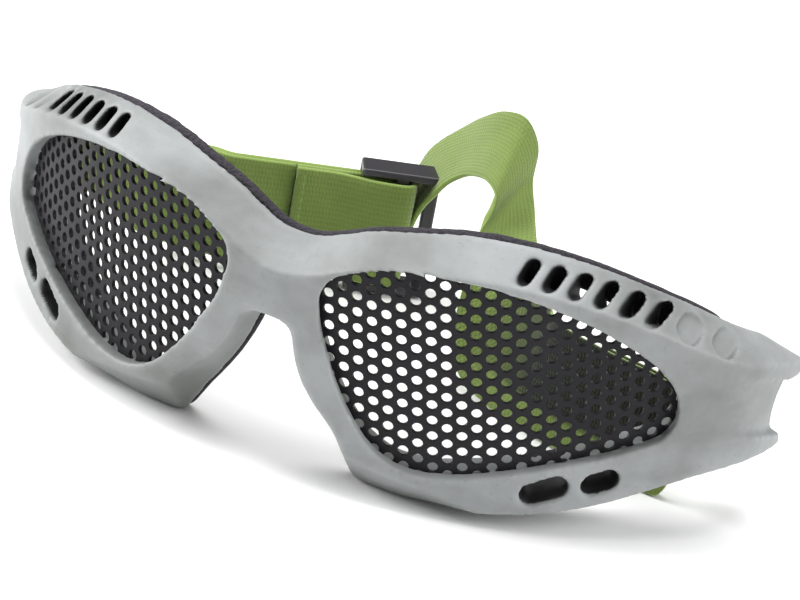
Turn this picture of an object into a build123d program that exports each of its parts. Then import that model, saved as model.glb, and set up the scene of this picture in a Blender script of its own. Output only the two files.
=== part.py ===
from build123d import *
import os
from math import asin, cos, degrees, pi, radians, sin, tan

# Mesh safety goggles: a one piece rubber frame that wraps round the face, two perforated steel eye screens
# held in grooves, a foam face seal, and an elastic head strap with a buckle that slides on it.
# X runs across the face, the front of the goggles looks towards -Y, and Z is up.
# Everything is built round the upright axis that the frame wraps about, and moved to its place at the end.
# Lengths are in millimetres and angles in degrees. Left and right are the wearer's, so left is at +X.

# Wrap of the frame, seen from above
wrap_radius = 104.5
temple_radius = 32.5
half_width = 87.7
frame_depth = 9.7
cut_overrun = 8.0

# Outline of the frame, seen from the front
frame_height = 55.5
arch_height = 31.0
lobe_x = 22.5
lobe_flat = 3.0
temple_underside_z = 16.6
under_slope_y = -93.6
under_slope_angle = 45.0
arch_rise_share = 0.1

# End of the temple, seen from the side
brow_tip_y = -42.0
brow_tip_z = 31.5
temple_notch_y = -48.2
temple_notch_z = 25.0
lower_tip_y = -47.0
lower_tip_z = 18.0

# Brow: a level land along the crest, then a slope down to the front face
brow_drop = 5.4
crest_land = 1.2
temple_recess_depth = 2.3
recess_start_angle = 50.0

# Eye openings and the screens in their grooves
eye_facing_angle = 27.0
opening_nose_u = -38.2
opening_width = 70.8
opening_bottom_z = 8.4
opening_height = 41.1
screen_radius = 101.3
screen_thickness = 0.6
screen_flat = 6.0
groove_depth = 1.2
groove_clearance = 0.12
hole_pitch = 3.25
hole_width = 2.1
hole_web = 0.45
hole_lean_angle = 10.8
hole_centre_share = 0.56
hole_centre_arc = -1.4
hole_sides = 6

# Vents in the brow: a row of open slots, then blind ones towards the ear
vent_first_x = 44.4
vent_pitch = 4.35
vent_count = 6
vent_width = 2.4
vent_height = 5.4
vent_fall_angle = 20.0
vent_rim = 0.7
vent_rim_depth = 0.6
vent_below_crest = 3.4
blind_first_angle = 45.4
blind_step_angle = 5.0
blind_count = 2
blind_width = 5.2
blind_length = 8.2
blind_depth = 1.0

# Lower vents, below each screen
lower_vent_sizes = ((32.4, 9.2, 9.6, 4.6), (38.2, 12.0, 7.6, 4.4))
lower_vent_lean_angle = 24.0
lower_vent_fall_angle = 12.0

# Foam face seal
foam_thickness = 3.4
foam_glue_gap = 0.1
foam_eye_margin = 2.0
foam_end_y = -57.5

# Strap bar moulded inside each temple
bar_x = 79.6
bar_y = -51.4
bar_radius = 1.4
bar_clearance = 0.3
pocket_low_z = 19.0
pocket_height = 17.5
pocket_clearance = 0.6

# Elastic strap
strap_width = 24.5
strap_thickness = 1.3
layer_gap = 0.3
sewn_gap = 0.1
seam_pitch = 1.9
thread_radius = 0.35

# Sliding buckle, in a frame with U along the strap and N out of its front
buckle_x = -17.3
buckle_y = -9.5
buckle_heading = 30.0
buckle_length = 18.0
buckle_bar = 3.0
buckle_bar_depth = 1.8
middle_bar_depth = 2.0
buckle_rail = 1.8
buckle_edge_gap = 0.4
buckle_floor_gap = 0.3
buckle_corner = 0.8
rail_round = 0.5
bar_round = 0.6
buckle_travel = 12.0
fold_length = 14.0
turn_steps = 8
tail_rows = 4
seam_margin = 1.8
seam_share = 0.5
thread_sides = 6
thread_sunk_share = 0.6

turn = degrees(asin((half_width - temple_radius) / (wrap_radius - temple_radius)))
temple_x = (wrap_radius - temple_radius) * sin(radians(turn))
temple_y = -(wrap_radius - temple_radius) * cos(radians(turn))


def wrap_point(facing, offset):
    """A point in plan, at an offset outside the front face, where the face looks towards an angle from -Y."""
    side = 1 if facing >= 0 else -1
    angle = radians(abs(facing))
    if abs(facing) <= turn:
        return side * (wrap_radius + offset) * sin(angle), -(wrap_radius + offset) * cos(angle)
    return side * (temple_x + (temple_radius + offset) * sin(angle)), temple_y - (temple_radius + offset) * cos(angle)


def wrap_solid(offset, end_y, low_z, high_z):
    """Everything inside the wrap outline at an offset, as far back as end_y."""
    join, bend, side = (wrap_point(a, offset) for a in (turn, (turn + 90) / 2, 90))
    flip = lambda p: (-p[0], p[1])
    end = (side[0], end_y)
    face = make_face([
        Line(end, side), ThreePointArc(side, bend, join),
        ThreePointArc(join, wrap_point(0, offset), flip(join)),
        ThreePointArc(flip(join), flip(bend), flip(side)), Line(flip(side), flip(end)), Line(flip(end), end)])
    return Pos(0, 0, low_z) * extrude(face, amount=high_z - low_z, dir=(0, 0, 1))


def wrap_band(outer_offset, inner_offset, end_y, low_z, high_z):
    """The curved wall between two offsets of the wrap outline."""
    inner = wrap_solid(inner_offset, end_y + cut_overrun, low_z - cut_overrun, high_z + cut_overrun)
    return wrap_solid(outer_offset, end_y, low_z, high_z) - inner


def facing_plane(facing):
    """An upright plane through the wrap axis that looks outwards, with its own x along the wrap."""
    angle = radians(facing)
    return Plane(origin=(0, 0, 0), x_dir=(cos(angle), sin(angle), 0), z_dir=(sin(angle), -cos(angle), 0))


def both_sides(solid):
    return solid + mirror(solid, about=Plane.YZ)


# Lower outline of the frame: nose arch, lobes that it stands on, and the rising underside.
# Towards the front it rises, so that the face slopes back to the lobes and to the sides of the nose.
def lower_outline(rise, y):
    """Everything above the lower edge of the frame's right half, in the upright plane at y."""
    far_x = half_width + cut_overrun
    lobe_outer = lobe_x + lobe_flat / 2
    lobe_inner = lobe_x - lobe_flat / 2
    underside_shares = ((0.90, 0.83), (0.775, 0.52), (0.64, 0.26), (0.48, 0.13), (0.37, 0.045))
    underside = Spline([(far_x, temple_underside_z + rise)]
                       + [(half_width * x, temple_underside_z * z + rise) for x, z in underside_shares]
                       + [(lobe_outer, rise)], tangents=[(-1, 0), (-1, 0)])
    flank_shares = ((0.82, 0.10, 0.13, 0.91), (0.475, 0.49, 0.15, 0.42), (0.25, 0.86, 0.06, 0.20))
    arch_top = arch_height + rise * arch_rise_share
    flank = Spline([(lobe_inner, rise)]
                   + [(lobe_inner * x + rise * dx, arch_height * z + rise * dz) for x, z, dx, dz in flank_shares]
                   + [(0, arch_top)], tangents=[(-1, 0), (-1, 0)])
    top_z = frame_height + cut_overrun + rise
    face = make_face([underside, Line((lobe_outer, rise), (lobe_inner, rise)), flank,
                      Line((0, arch_top), (0, top_z)), Line((0, top_z), (far_x, top_z)),
                      Line((far_x, top_z), (far_x, temple_underside_z + rise))])
    return Plane(origin=(0, y, 0), x_dir=(1, 0, 0), z_dir=(0, -1, 0)) * face


def outline_prism():
    front_y = -wrap_radius - cut_overrun
    rise = (under_slope_y - front_y) * tan(radians(under_slope_angle))
    straight = extrude(lower_outline(0, 0), amount=-under_slope_y, dir=(0, -1, 0))
    sloped = loft([lower_outline(0, under_slope_y), lower_outline(rise, front_y)], ruled=True)
    return both_sides(straight + sloped)


def temple_end_cutter():
    """What lies behind the two tips of the temples, as a prism along X."""
    above = frame_height + cut_overrun
    back_y = brow_tip_y + 2 * cut_overrun
    rise = brow_tip_z - temple_notch_z
    edge = Spline((brow_tip_y - rise, above), (brow_tip_y - rise * 0.8, brow_tip_z + rise), (brow_tip_y, brow_tip_z),
                  tangents=[(0, -1), (0.2, -1)])
    lower = Spline((brow_tip_y, brow_tip_z), (temple_notch_y, temple_notch_z), (lower_tip_y, lower_tip_z),
                   (lower_tip_y - lower_tip_z, -cut_overrun), tangents=[(-1, -1), (-1, -1)])
    face = make_face([edge, lower, Line((lower_tip_y - lower_tip_z, -cut_overrun), (back_y, -cut_overrun)),
                      Line((back_y, -cut_overrun), (back_y, above)), Line((back_y, above), (brow_tip_y - rise, above))])
    return Pos(-half_width - cut_overrun, 0, 0) * extrude(
        Plane.YZ * face, amount=2 * (half_width + cut_overrun), dir=(1, 0, 0))


# Brow: crest height and slope at stations round the wrap
brow_angles = (0, 4, 8, 13, 20, 27, 34, 41, 50, 60, 75, 90)
crest_shares = (0.845, 0.868, 0.921, 0.960, 0.998, 0.995, 0.960, 0.897, 0.793, 0.760, 0.714, 0.665)
drop_shares = (1, 1, 1, 1, 1, 1, 1, 1, 1, 0.89, 0.67, 0.48)


def crest_z(facing):
    """Height of the crest at a facing, between the stations."""
    place = abs(facing)
    for a, b, low, high in zip(brow_angles, brow_angles[1:], crest_shares, crest_shares[1:]):
        if place <= b:
            return frame_height * (low + (high - low) * (place - a) / (b - a))
    return frame_height * crest_shares[-1]


def brow_section(facing, crest_share, drop_share, back):
    """Everything over the land and slope of the brow at one station, moved back by a length."""
    crest = frame_height * crest_share
    slope = brow_drop * drop_share / (frame_depth - crest_land)
    above = frame_height + cut_overrun
    inner = -frame_depth - cut_overrun
    corners = ((inner, crest), (crest_land - frame_depth, crest),
               (cut_overrun, crest - slope * (frame_depth - crest_land + cut_overrun)),
               (cut_overrun, above), (inner, above))
    points = [Vector(*wrap_point(facing, offset), z) + Vector(0, back, 0) for offset, z in corners]
    return make_face(Polyline(points, close=True))


def brow_cutter():
    stations = list(zip(brow_angles, crest_shares, drop_shares))
    left = [(-a, c, d) for a, c, d in reversed(stations[1:])]
    ends = (brow_angles[-1], crest_shares[-1] * 0.92, drop_shares[-1])
    sections = [brow_section(-ends[0], ends[1], ends[2], cut_overrun)]
    sections += [brow_section(a, c, d, 0) for a, c, d in left + stations]
    sections += [brow_section(ends[0], ends[1], ends[2], cut_overrun)]
    return loft(sections)


# Eye openings: the upper and the lower edge, from the nose to the temple and back
opening_upper_shares = ((0.0, 0.745), (0.02, 0.838), (0.066, 0.900), (0.13, 0.943), (0.22, 0.976), (0.325, 0.994),
                        (0.435, 0.990), (0.53, 0.966), (0.62, 0.928), (0.725, 0.868), (0.825, 0.788),
                        (0.89, 0.722), (0.95, 0.634), (0.99, 0.530), (1.0, 0.440))
opening_lower_shares = ((1.0, 0.440), (0.99, 0.370), (0.95, 0.305), (0.85, 0.237), (0.73, 0.170), (0.61, 0.101),
                        (0.50, 0.044), (0.42, 0.012), (0.34, 0.0), (0.245, 0.035), (0.165, 0.142),
                        (0.103, 0.287), (0.054, 0.450), (0.018, 0.600), (0.0, 0.745))


def grown(shares, margin):
    """Points of one edge of the opening, moved outwards by a margin."""
    points = [Vector(opening_nose_u + opening_width * u, opening_bottom_z + opening_height * z) for u, z in shares]
    moved = []
    for i, point in enumerate(points):
        ahead = points[i + 1] - point if i + 1 < len(points) else point - points[i - 1]
        behind = point - points[i - 1] if i else ahead
        along = (ahead.normalized() + behind.normalized()).normalized()
        if i in (0, len(points) - 1):
            along = Vector(0, 1 if along.Y > 0 else -1)
        moved.append(point + Vector(-along.Y, along.X) * margin)
    return moved


def opening_face(margin):
    """Outline of the left eye opening, seen along its facing, grown by a margin."""
    upper, lower = (grown(shares, margin) for shares in (opening_upper_shares, opening_lower_shares))
    return make_face([ThreePointArc(edge[i], edge[i + 1], edge[i + 2])
                      for edge in (upper, lower) for i in range(0, len(edge) - 2, 2)])


def opening_prism(margin, from_radius, to_radius):
    face = facing_plane(eye_facing_angle) * (Pos(0, 0, from_radius) * opening_face(margin))
    normal = facing_plane(eye_facing_angle).z_dir
    return extrude(face, amount=to_radius - from_radius, dir=normal)


def ring(radius, thickness, low_z, high_z):
    """An upright ring about the wrap axis."""
    tall = high_z - low_z
    outer = Cylinder(radius + thickness / 2, tall, align=(Align.CENTER, Align.CENTER, Align.MIN))
    inner = Cylinder(radius - thickness / 2, tall + 2 * cut_overrun, align=(Align.CENTER, Align.CENTER, Align.MIN))
    return Pos(0, 0, low_z) * (outer - Pos(0, 0, -cut_overrun) * inner)


def groove_cutter():
    slot = ring(screen_radius, screen_thickness + 2 * groove_clearance, 0, frame_height)
    return slot & opening_prism(groove_depth, wrap_radius / 2, wrap_radius + cut_overrun)


def rolled_sheet():
    """The blank of a screen: narrow upright flats that follow the screen's radius."""
    first = eye_facing_angle + degrees(asin((opening_nose_u - groove_depth) / screen_radius))
    last = eye_facing_angle + degrees(asin((opening_nose_u + opening_width + groove_depth) / screen_radius))
    count = round(radians(last - first) * screen_radius / screen_flat)
    angles = [radians(first + (last - first) * i / count) for i in range(count + 1)]
    outer, inner = ([(r * sin(a), -r * cos(a)) for a in angles]
                    for r in (screen_radius + screen_thickness / 2, screen_radius - screen_thickness / 2))
    return extrude(make_face(Polyline(outer + inner[::-1], close=True)), amount=frame_height, dir=(0, 0, 1))


def screen(side):
    """One perforated eye screen: a curved sheet with hexagonally packed holes, leaning alike on both sides."""
    sheet = rolled_sheet() & opening_prism(groove_depth - groove_clearance, wrap_radius / 2, wrap_radius + cut_overrun)
    outline = opening_face(groove_depth - groove_clearance - hole_width / 2 - hole_web)
    middle_z = opening_bottom_z + opening_height * hole_centre_share
    lean = radians(hole_lean_angle) * side
    column_step = hole_pitch * cos(radians(30))
    reach = int(opening_width / column_step)
    punches = []
    for column in range(-reach, reach + 1):
        for row in range(-reach, reach + 1):
            if (column + row) % 2 == 0:
                continue
            across = column * column_step
            down = row * hole_pitch / 2
            arc = hole_centre_arc + across * cos(lean) + down * sin(lean)
            z = middle_z + across * sin(lean) - down * cos(lean)
            u = screen_radius * sin(arc / screen_radius)
            if not outline.is_inside(Vector(u, z, 0)):
                continue
            place = facing_plane(eye_facing_angle + degrees(arc / screen_radius))
            punch = RegularPolygon(hole_width / 2, hole_sides, major_radius=False)
            tool = extrude(Pos(0, z, screen_radius - screen_thickness) * (Rot(0, 0, degrees(-lean)) * punch),
                           amount=2 * screen_thickness)
            punches.append(place * tool)
    sheet = sheet - punches
    return sheet if side > 0 else mirror(sheet, about=Plane.YZ)


# Vents
def vent_y(x):
    """Where a brow vent's middle lies on the slope, at a distance x from the middle of the face."""
    middle = wrap_radius - frame_depth / 2
    return -middle * cos(asin(x / middle))


def slope_z(x, y):
    facing = degrees(asin(x / (x * x + y * y) ** 0.5))
    return crest_z(facing) - vent_below_crest


def brow_vents():
    """The open slots of one side: shallow rims, then slots that fall towards the back."""
    cutters = []
    for i in range(vent_count):
        x = vent_first_x + i * vent_pitch
        y = vent_y(x)
        fall = radians(vent_fall_angle)
        plane = Plane(origin=(x, y, slope_z(x, y)), x_dir=(1, 0, 0), z_dir=(0, -cos(fall), sin(fall)))
        slot = SlotOverall(vent_height, vent_width, rotation=90)
        cutters.append(plane * extrude(slot, amount=2 * frame_depth, both=True))
    return cutters


def blind_vents():
    cutters = []
    for i in range(blind_count):
        facing = blind_first_angle + i * blind_step_angle
        x, y = wrap_point(facing, -frame_depth * 0.42)
        slope = brow_drop / (frame_depth - crest_land)
        angle = radians(facing)
        outward = Vector(sin(angle) * slope, -cos(angle) * slope, 1).normalized()
        z = crest_z(facing) - vent_below_crest
        plane = Plane(origin=(x, y, z), x_dir=(1, 0, 0), z_dir=outward)
        slot = SlotOverall(blind_length, blind_width, rotation=90)
        cutters.append(plane * (Pos(0, 0, -blind_depth) * extrude(slot, amount=cut_overrun)))
    return cutters


def lower_vents():
    cutters = []
    for facing, z, length, width in lower_vent_sizes:
        angle = radians(facing)
        fall = radians(lower_vent_fall_angle)
        x, y = wrap_point(facing, 0)
        outward = (sin(angle) * cos(fall), -cos(angle) * cos(fall), -sin(fall))
        plane = Plane(origin=(x, y, z), x_dir=(cos(angle), sin(angle), 0), z_dir=outward)
        slot = SlotOverall(length, width, rotation=lower_vent_lean_angle)
        cutters.append(plane * extrude(slot, amount=2 * frame_depth, both=True))
    return cutters


def temple_recess():
    """The panel between the brow band and the lower band, sunk into the outer face of a temple."""
    shares = ((-0.36, 0.68), (-0.27, 0.665), (-0.16, 0.617), (-0.06, 0.583), (0.02, 0.553), (0.16, 0.53),
              (0.16, 0.325), (0.05, 0.33), (-0.07, 0.375), (-0.15, 0.39), (-0.23, 0.385), (-0.36, 0.38))
    top = [(half_width * u, frame_height * z) for u, z in shares[:6]]
    low = [(half_width * u, frame_height * z) for u, z in shares[6:]]
    face = make_face([Spline(top), Line(top[-1], low[0]), Spline(low), Line(low[-1], top[0])])
    plane = facing_plane(2 * (90 - turn) - 20)
    prism = extrude(plane * face, amount=wrap_radius + cut_overrun, dir=plane.z_dir)
    shift = temple_recess_depth / cos(radians(recess_start_angle))
    end_y = brow_tip_y + cut_overrun
    kept = wrap_solid(-temple_recess_depth, end_y + 2 * shift, -cut_overrun, frame_height + cut_overrun)
    skin = wrap_solid(cut_overrun, end_y, 0, frame_height) - Pos(0, -shift, 0) * kept
    return skin & prism


def strap_pocket():
    """The pocket in the inner side of a temple that the strap goes through, round an upright bar."""
    reach = bar_radius + 2 * bar_clearance + strap_thickness
    tall = extrude(Circle(reach), amount=pocket_height) + Pos(-reach * 2, 0, 0) * Box(
        reach * 4, 2 * reach, pocket_height, align=(Align.CENTER, Align.CENTER, Align.MIN))
    bar = extrude(Circle(bar_radius), amount=pocket_height)
    return Pos(bar_x, bar_y, pocket_low_z) * (tall - bar)


def goggle_frame():
    body = wrap_band(0, -frame_depth, brow_tip_y + cut_overrun, -cut_overrun, frame_height + cut_overrun)
    for cutter in (opening_prism(0, wrap_radius / 2, wrap_radius + cut_overrun), groove_cutter()):
        body = body - cutter - mirror(cutter, about=Plane.YZ)
    body = body & outline_prism()
    body = body - brow_cutter() - temple_end_cutter()
    for cutter in [temple_recess(), strap_pocket()] + brow_vents() + blind_vents() + lower_vents():
        body = body - cutter - mirror(cutter, about=Plane.YZ)
    return body


def face_foam():
    """The seal on the frame's back: it follows the crest and the lower edge, with an opening for each eye."""
    front = -frame_depth - foam_glue_gap
    foam = wrap_band(front, front - foam_thickness, brow_tip_y, -cut_overrun, frame_height + cut_overrun)
    foam = foam & outline_prism()
    foam = foam - brow_cutter()
    foam = foam - Pos(0, foam_end_y, 0) * Box(2 * half_width, wrap_radius, 3 * frame_height,
                                              align=(Align.CENTER, Align.MIN, Align.CENTER))
    eye = opening_prism(foam_eye_margin, wrap_radius / 2, wrap_radius + cut_overrun)
    return foam - eye - mirror(eye, about=Plane.YZ)


# Strap
def face_directions(lines):
    """The direction square to the band at each of its lines, on the same side all along."""
    found = []
    for i, (low, high) in enumerate(lines):
        before = lines[max(i - 1, 0)]
        after = lines[min(i + 1, len(lines) - 1)]
        along = (after[0] + after[1]) - (before[0] + before[1])
        out = along.cross(high - low).normalized()
        found.append(-out if found and out.dot(found[-1]) < 0 else out)
    return found


def ribbon(lines, thickness):
    """A flat band through pairs of edge points."""
    sections = []
    for (low, high), out in zip(lines, face_directions(lines)):
        step = out * thickness / 2
        sections.append(make_face(Polyline([low - step, high - step, high + step, low + step], close=True)))
    return loft(sections, ruled=True)


def edge_pair(shares):
    lx, ly, lz, hx, hy, hz = shares
    return (Vector(lx * half_width, ly * wrap_radius, lz * strap_width),
            Vector(hx * half_width, hy * wrap_radius, hz * strap_width))


heading = radians(buckle_heading)
along_strap = Vector(cos(heading), sin(heading), 0)
out_front = Vector(sin(heading), -cos(heading), 0)
strap_low_z = buckle_floor_gap + buckle_rail + buckle_edge_gap
layer_step = strap_thickness + layer_gap
sewn_step = strap_thickness + sewn_gap


def at_buckle(u, n=0.0):
    """An upright line across the strap at a distance u along it and n in front of it, at the buckle."""
    foot = Vector(buckle_x, buckle_y, strap_low_z) + along_strap * u + out_front * n
    return foot, foot + Vector(0, 0, strap_width)


def leaving_buckle(shares):
    """A line across the strap where it rises from the buckle into the loop."""
    lu, ln, lz, hu, hn, hz = shares
    low, _ = at_buckle(buckle_length * lu, buckle_length * ln)
    high, _ = at_buckle(buckle_length * hu, buckle_length * hn)
    return low + Vector(0, 0, strap_width * lz - strap_low_z), high + Vector(0, 0, strap_width * hz - strap_low_z)


gathered_low_z = pocket_low_z + pocket_clearance
gathered_width = pocket_height - 2 * pocket_clearance
bend_radius = bar_radius + bar_clearance + strap_thickness / 2


def at_bar(side, inward, row):
    """An upright line across the gathered strap beside a temple bar, behind it (row 1) or in front of it (-1)."""
    foot = Vector(side * (bar_x - inward), bar_y + row * bend_radius, gathered_low_z)
    return foot, foot + Vector(0, 0, gathered_width)


def bar_bend(side):
    """The strap's half turn round a temple bar."""
    outer = bend_radius + strap_thickness / 2
    inner = bend_radius - strap_thickness / 2
    half = (Circle(outer) - Circle(inner)) & Pos(side * outer, 0, 0) * Rectangle(2 * outer, 2 * outer)
    return Pos(side * bar_x, bar_y, gathered_low_z) * extrude(half, amount=gathered_width)


right_route_shares = (
    (0.835, -0.516, 0.653, 0.835, -0.513, 1.429), (0.810, -0.529, 0.265, 0.810, -0.523, 1.265),
    (0.780, -0.536, 0.006, 0.779, -0.527, 1.020), (0.684, -0.529, 0.004, 0.684, -0.522, 1.020),
    (0.559, -0.510, 0.004, 0.561, -0.500, 1.020), (0.433, -0.481, 0.004, 0.440, -0.464, 1.020),
    (0.291, -0.435, 0.012, 0.393, -0.415, 1.020), (0.194, -0.401, 0.122, 0.365, -0.382, 1.061),
    (0.155, -0.380, 0.408, 0.336, -0.344, 1.102), (0.141, -0.357, 0.735, 0.308, -0.300, 1.163),
    (0.123, -0.320, 1.041, 0.268, -0.248, 1.257), (0.121, -0.277, 1.286, 0.205, -0.181, 1.367),
    (0.114, -0.229, 1.429, 0.154, -0.095, 1.490), (0.063, -0.176, 1.469, 0.074, -0.009, 1.612),
    (-0.005, -0.135, 1.388, -0.017, 0.054, 1.645))
exit_shares = (
    (0.53, 0.38, 1.08, 0.83, -0.44, 1.53), (0.61, 0.29, 0.82, 0.78, -0.25, 1.41),
    (0.67, 0.14, 0.51, 0.73, -0.11, 1.27), (0.66, 0.03, 0.24, 0.68, -0.03, 1.14))
left_route_shares = (
    (-0.616, -0.270, 0.10, -0.616, -0.270, 1.10), (-0.690, -0.284, 0.10, -0.690, -0.284, 1.08),
    (-0.753, -0.325, 0.16, -0.753, -0.325, 1.08), (-0.795, -0.395, 0.42, -0.795, -0.395, 1.25))
fold_end = -(buckle_length / 2 + fold_length)
straight_start = fold_end - buckle_travel


def beside(lines, shift):
    """The same lines across the strap, set off to one side of it."""
    return [(low + out * shift, high + out * shift) for (low, high), out in zip(lines, face_directions(lines))]


def strap_band():
    """The outer layer: from its sewn end at the left temple, over the loop, through the buckle, to the right bar."""
    route = [edge_pair(s) for s in right_route_shares]
    lines = [at_bar(1, 0, -1), at_bar(1, bend_radius * 2, -1)] + route + [leaving_buckle(s) for s in exit_shares]
    lines += [at_buckle(buckle_length / 2 + layer_step), at_buckle(straight_start)]
    lines += [edge_pair(s) for s in left_route_shares]
    lines += [at_bar(-1, bend_radius * 2, 1), at_bar(-1, 0, 1)]
    tail = [at_bar(1, 0, 1), at_bar(1, bend_radius, 1)]
    tail += beside(route[:tail_rows + 2], sewn_step)[1:tail_rows + 1]
    return ribbon(lines, strap_thickness) + bar_bend(1) + bar_bend(-1) + ribbon(tail, strap_thickness)


def strap_inner_layer():
    """The layer that comes back from the right temple's bar to the sewn fold before the buckle."""
    outer = [at_buckle(fold_end - layer_gap), at_buckle(straight_start)] + [edge_pair(s) for s in left_route_shares]
    lines = beside(outer, -layer_step)
    lines += [at_bar(-1, bend_radius * 2, -1), at_bar(-1, 0, -1)]
    return ribbon(lines, strap_thickness)


# Sewn fold round the middle bar of the buckle
fold_turn_radius = middle_bar_depth / 2 + layer_gap + strap_thickness / 2
centre_bar_n = layer_step + fold_turn_radius


def strap_end_fold():
    """The strap's end: behind the middle bar, round it, and back in front to where it is sewn to itself."""
    middle_u = fold_turn_radius - buckle_bar / 2 + layer_gap
    sewn_n = layer_step + sewn_step
    lines = [at_buckle(fold_end, layer_step), at_buckle(0, layer_step)]
    for i in range(turn_steps + 1):
        angle = pi * (i / turn_steps - 1 / 2)
        u = middle_u + fold_turn_radius * cos(angle)
        lines.append(at_buckle(u, centre_bar_n + fold_turn_radius * sin(angle)))
    front_n = centre_bar_n + fold_turn_radius
    for u_share, n_share in ((0.10, 1.0), (0.28, 0.80), (0.45, 0.35), (0.58, 0.06), (0.68, 0.0), (1.0, 0.0)):
        lines.append(at_buckle(fold_end * u_share, sewn_n + (front_n - sewn_n) * n_share))
    return ribbon(lines, strap_thickness)


def strap_slider():
    """The buckle: two end bars behind the strap and a middle bar in front of it, between an upper and a lower rail."""
    back_n = -(strap_thickness / 2 + layer_gap + buckle_bar_depth)
    front_n = centre_bar_n + middle_bar_depth / 2
    high = strap_low_z + strap_width + buckle_edge_gap
    depth = front_n - back_n
    rail = extrude(RectangleRounded(buckle_length, depth, buckle_corner), amount=buckle_rail)
    rail = fillet(rail.edges().filter_by(GeomType.LINE, reverse=False).filter_by(Axis.Z, reverse=True), rail_round)
    lift = Pos(0, -(front_n + back_n) / 2, 0)
    body = lift * (Pos(0, 0, buckle_floor_gap) * rail) + lift * (Pos(0, 0, high) * rail)
    tall = high - buckle_floor_gap
    for side in (-1, 1):
        end = extrude(RectangleRounded(buckle_bar, buckle_bar_depth, bar_round), amount=tall)
        across = side * (buckle_length / 2 - buckle_bar / 2)
        body += Pos(across, -(back_n + buckle_bar_depth / 2), buckle_floor_gap + buckle_rail / 2) * end
    middle = extrude(RectangleRounded(buckle_bar, middle_bar_depth, bar_round), amount=tall)
    body += Pos(0, -centre_bar_n, buckle_floor_gap + buckle_rail / 2) * middle
    place = Plane(origin=(buckle_x, buckle_y, 0), x_dir=tuple(along_strap), z_dir=(0, 0, 1))
    return place * body


# Seams: the thread is pulled into the faces of the strap
thread_depth = strap_thickness / 2 - thread_radius * thread_sunk_share


def thread_run(start, end):
    """A straight run of thread between two points, with its ends squared off past them."""
    run = end - start
    plane = Plane(origin=start - run.normalized() * thread_radius, z_dir=run.normalized())
    return plane * extrude(RegularPolygon(thread_radius, thread_sides), amount=run.length + 2 * thread_radius)


def seam(low, high, depth):
    """Lock stitches between two points across the strap: a run on each face, joined through the layers."""
    count = int(((high - low).length - 2 * seam_margin) / seam_pitch)
    start = low + (high - low).normalized() * ((high - low).length - count * seam_pitch) / 2
    step = (high - low).normalized() * seam_pitch
    thread = thread_run(start, start + step * count) + thread_run(start + depth, start + step * count + depth)
    for i in range(count + 1):
        thread += thread_run(start + step * i, start + step * i + depth)
    return thread


def fold_seam():
    """Through the two layers of the fold, near its end."""
    u = fold_end + seam_margin
    back, high = at_buckle(u, layer_step - thread_depth)
    front, _ = at_buckle(u, layer_step + sewn_step + thread_depth)
    return seam(back, high, front - back)


def temple_seam():
    """Through the strap and its turned back tail at the left temple."""
    near, far = (edge_pair(s) for s in right_route_shares[tail_rows - 1:tail_rows + 1])
    low = near[0] + (far[0] - near[0]) * seam_share
    high = near[1] + (far[1] - near[1]) * seam_share
    along = (far[0] + far[1]) - (near[0] + near[1])
    out = along.cross(high - low).normalized()
    return seam(low - out * thread_depth, high - out * thread_depth, out * (sewn_step + 2 * thread_depth))


fold_stitches = fold_seam()
tail_stitches = temple_seam()
parts = {
    "goggle_frame": goggle_frame(),
    "face_foam": face_foam(),
    "mesh_lens_left": screen(1),
    "mesh_lens_right": screen(-1),
    "strap_band": strap_band() - tail_stitches,
    "strap_inner_layer": strap_inner_layer(),
    "temple_seam_stitches": tail_stitches,
    "strap_slider": strap_slider(),
    "strap_end_fold": strap_end_fold() - fold_stitches,
    "end_seam_stitches": fold_stitches,
}

# The origin goes to the middle of the whole part, on the floor that it rests on
boxes = [shape.bounding_box() for shape in parts.values()]
low_y = min(box.min.Y for box in boxes)
high_y = max(box.max.Y for box in boxes)
os.makedirs("parts", exist_ok=True)
for name, shape in parts.items():
    placed = Pos(0, -(low_y + high_y) / 2, 0) * shape
    bounds = placed.bounding_box()
    print(name, len(placed.solids()), round(placed.volume, 1), placed.is_valid,
          [round(v, 3) for v in (*bounds.min, *bounds.max)])
    export_step(placed, f"parts/{name}.step")
print("moved back by", round(-(low_y + high_y) / 2, 4))
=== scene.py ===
"""Mesh safety goggles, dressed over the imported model: moulded frame, screens, face seal and head strap."""
import logging
import math
from dataclasses import dataclass, field
from enum import Enum
from typing import Any, Iterable, Optional, Sequence

import bmesh
import bpy
from mathutils import Matrix, Vector


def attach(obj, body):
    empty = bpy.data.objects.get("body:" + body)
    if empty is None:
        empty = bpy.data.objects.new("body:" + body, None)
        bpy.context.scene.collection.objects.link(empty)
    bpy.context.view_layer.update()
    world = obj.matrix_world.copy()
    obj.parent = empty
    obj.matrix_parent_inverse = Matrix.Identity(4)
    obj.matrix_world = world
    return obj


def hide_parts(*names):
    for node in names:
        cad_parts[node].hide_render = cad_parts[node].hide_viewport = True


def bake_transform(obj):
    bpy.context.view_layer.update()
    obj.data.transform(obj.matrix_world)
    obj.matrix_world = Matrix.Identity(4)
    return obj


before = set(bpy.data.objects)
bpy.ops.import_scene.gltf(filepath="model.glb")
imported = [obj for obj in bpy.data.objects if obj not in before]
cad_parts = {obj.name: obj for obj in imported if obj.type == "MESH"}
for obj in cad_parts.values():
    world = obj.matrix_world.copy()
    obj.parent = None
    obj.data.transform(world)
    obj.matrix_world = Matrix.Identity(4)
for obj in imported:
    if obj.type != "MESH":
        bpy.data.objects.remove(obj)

log = logging.getLogger("goggles")
MM = 0.001
BACK_SHIFT = 49.3356 * MM  # from the axis of the frame's wrap to the model's origin
JOIN_WITHIN = 0.001 * MM
LIT_POINT = Vector((0.0, 0.0, 25.0 * MM))
Pair = tuple[Vector, Vector]
Colour = tuple[float, float, float]
Box = tuple[Matrix, Vector]


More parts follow.
